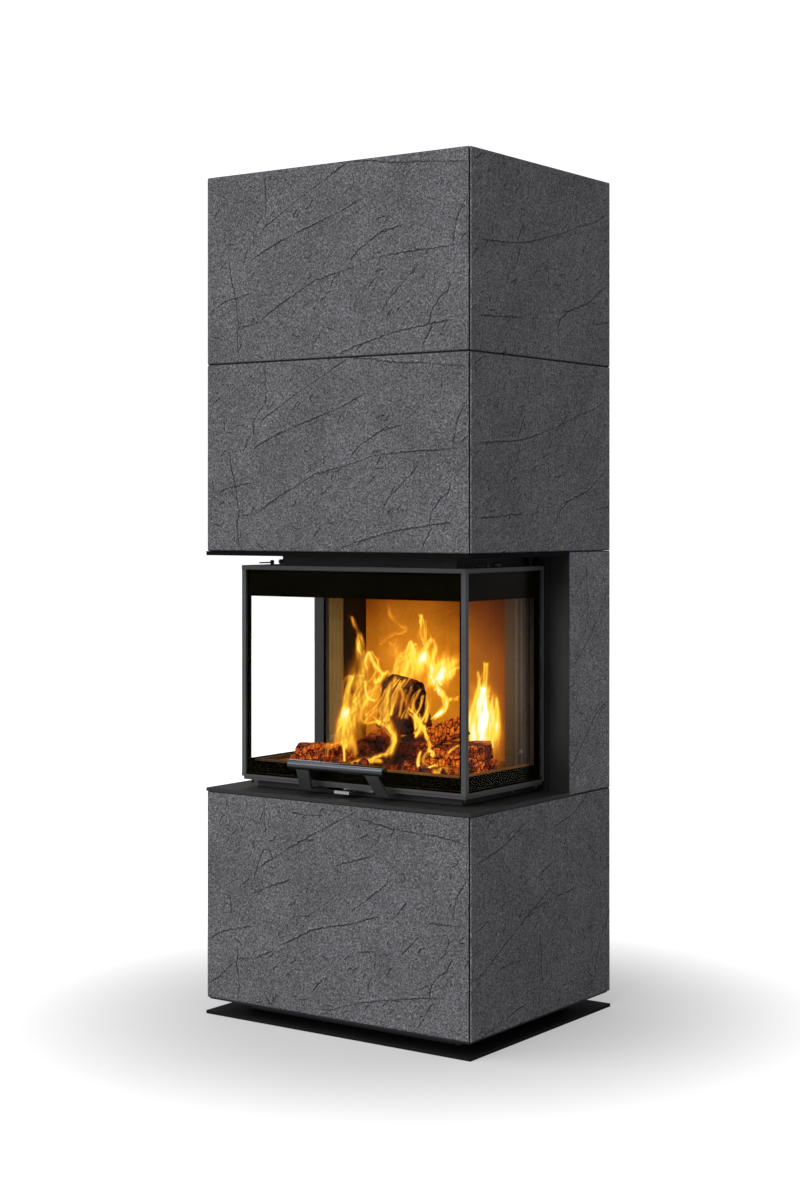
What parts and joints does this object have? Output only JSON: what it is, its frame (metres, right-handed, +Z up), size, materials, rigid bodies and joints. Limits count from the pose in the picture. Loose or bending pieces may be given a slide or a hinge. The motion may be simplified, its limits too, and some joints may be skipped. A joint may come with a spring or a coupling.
{
  "type": "wood fireplace",
  "caption": "Free-standing wood fireplace clad in stone, with a glass door on three sides that lifts into the upper housing, chain-hung on counterweights, and a slide for the air.",
  "frame": {"origin": "centre of the footprint on the floor", "axes": "+Z up, the front with the handle faces -Y, +X to the right as seen from the front"},
  "size_m": [0.6, 0.49, 1.586],
  "materials": {
    "stone": "dark anthracite stone with a leathered face and branching creases",
    "black_steel": "matt black heat-proof paint",
    "profile_steel": "dark grey satin door profile",
    "zinc_steel": "plain zinc-coated steel",
    "handle_steel": "dark grey polished steel",
    "heat_steel": "steel tinted bronze by heat",
    "lining": "pressed fireproof board, warm ochre",
    "glass": "clear ceramic glass with black enamelled borders",
    "weight_iron": "raw cast iron",
    "wood": "split firewood, charred and glowing at its edges"
  },
  "bodies": {
    "body": {"base_plate": "black_steel", "plinth": "black_steel", "stand_frame": "black_steel", "lower_front_stone": "stone", "lower_left_stone": "stone", "lower_right_stone": "stone", "middle_front_stone": "stone", "middle_left_stone": "stone", "middle_right_stone": "stone", "top_front_stone": "stone", "top_left_stone": "stone", "top_right_stone": "stone", "rear_left_stone": "stone", "rear_right_stone": "stone", "shelf_plate": "black_steel", "upper_plate": "black_steel", "upper_liner": "zinc_steel", "top_cover": "black_steel", "casing_side_left": "black_steel", "casing_side_right": "black_steel", "rear_panel": "black_steel", "air_box": "black_steel", "air_pipe": "zinc_steel", "hearth_rim": "heat_steel", "hearth_floor": "lining", "column_left": "heat_steel", "column_right": "heat_steel", "side_lining_left": "lining", "side_lining_right": "lining", "back_lining_left": "lining", "back_lining_centre": "lining", "back_lining_right": "lining", "firebox_shell": "black_steel", "smoke_dome": "black_steel", "lower_baffle": "lining", "upper_baffle": "lining", "flue_collar": "black_steel", "lift_guide_left": "zinc_steel", "lift_guide_right": "zinc_steel", "lift_chain_left": "zinc_steel", "lift_chain_right": "zinc_steel", "log_left": "wood", "log_right": "wood", "log_top": "wood", "log_small": "wood"},
    "door": {"door_frame": "profile_steel", "front_glass": "glass", "left_glass": "glass", "right_glass": "glass", "handle_bar": "handle_steel", "handle_bracket_left": "handle_steel", "handle_bracket_right": "handle_steel", "carriage_left": "zinc_steel", "carriage_right": "zinc_steel"},
    "weight_left": {"counterweight_left": "weight_iron"},
    "weight_right": {"counterweight_right": "weight_iron"},
    "upper_shaft": {"lift_shaft": "zinc_steel"},
    "wheel_left": {"lower_wheel_left": "zinc_steel"},
    "wheel_right": {"lower_wheel_right": "zinc_steel"},
    "air_lever": {"air_slide": "zinc_steel"}
  },
  "joints": [
    {"name": "door_lift", "type": "slide", "parent": "body", "child": "door", "axis": [0, 0, 1], "range_m": [0, 0.368]},
    {"name": "weight_left_drop", "type": "slide", "parent": "body", "child": "weight_left", "axis": [0, 0, -1], "range_m": [0, 0.368]},
    {"name": "weight_right_drop", "type": "slide", "parent": "body", "child": "weight_right", "axis": [0, 0, -1], "range_m": [0, 0.368]},
    {"name": "upper_shaft_turn", "type": "hinge", "parent": "body", "child": "upper_shaft", "pos_m": [0, 0.1495, 1.47], "axis": [1, 0, 0], "range_deg": [-350, 0]},
    {"name": "wheel_left_turn", "type": "hinge", "parent": "body", "child": "wheel_left", "pos_m": [-0.217, 0.1495, 0.53], "axis": [1, 0, 0], "range_deg": [-350, 0]},
    {"name": "wheel_right_turn", "type": "hinge", "parent": "body", "child": "wheel_right", "pos_m": [0.217, 0.1495, 0.53], "axis": [1, 0, 0], "range_deg": [-350, 0]},
    {"name": "air_lever_slide", "type": "slide", "parent": "body", "child": "air_lever", "axis": [1, 0, 0], "range_m": [-0.045, 0.045]}
  ],
  "couplings": [
    {"joint": "weight_left_drop", "follows": "door_lift", "ratio": 1},
    {"joint": "weight_right_drop", "follows": "door_lift", "ratio": 1},
    {"joint": "upper_shaft_turn", "follows": "door_lift", "rad_per_m": -16.529},
    {"joint": "wheel_left_turn", "follows": "door_lift", "rad_per_m": -16.529},
    {"joint": "wheel_right_turn", "follows": "door_lift", "rad_per_m": -16.529}
  ]
}
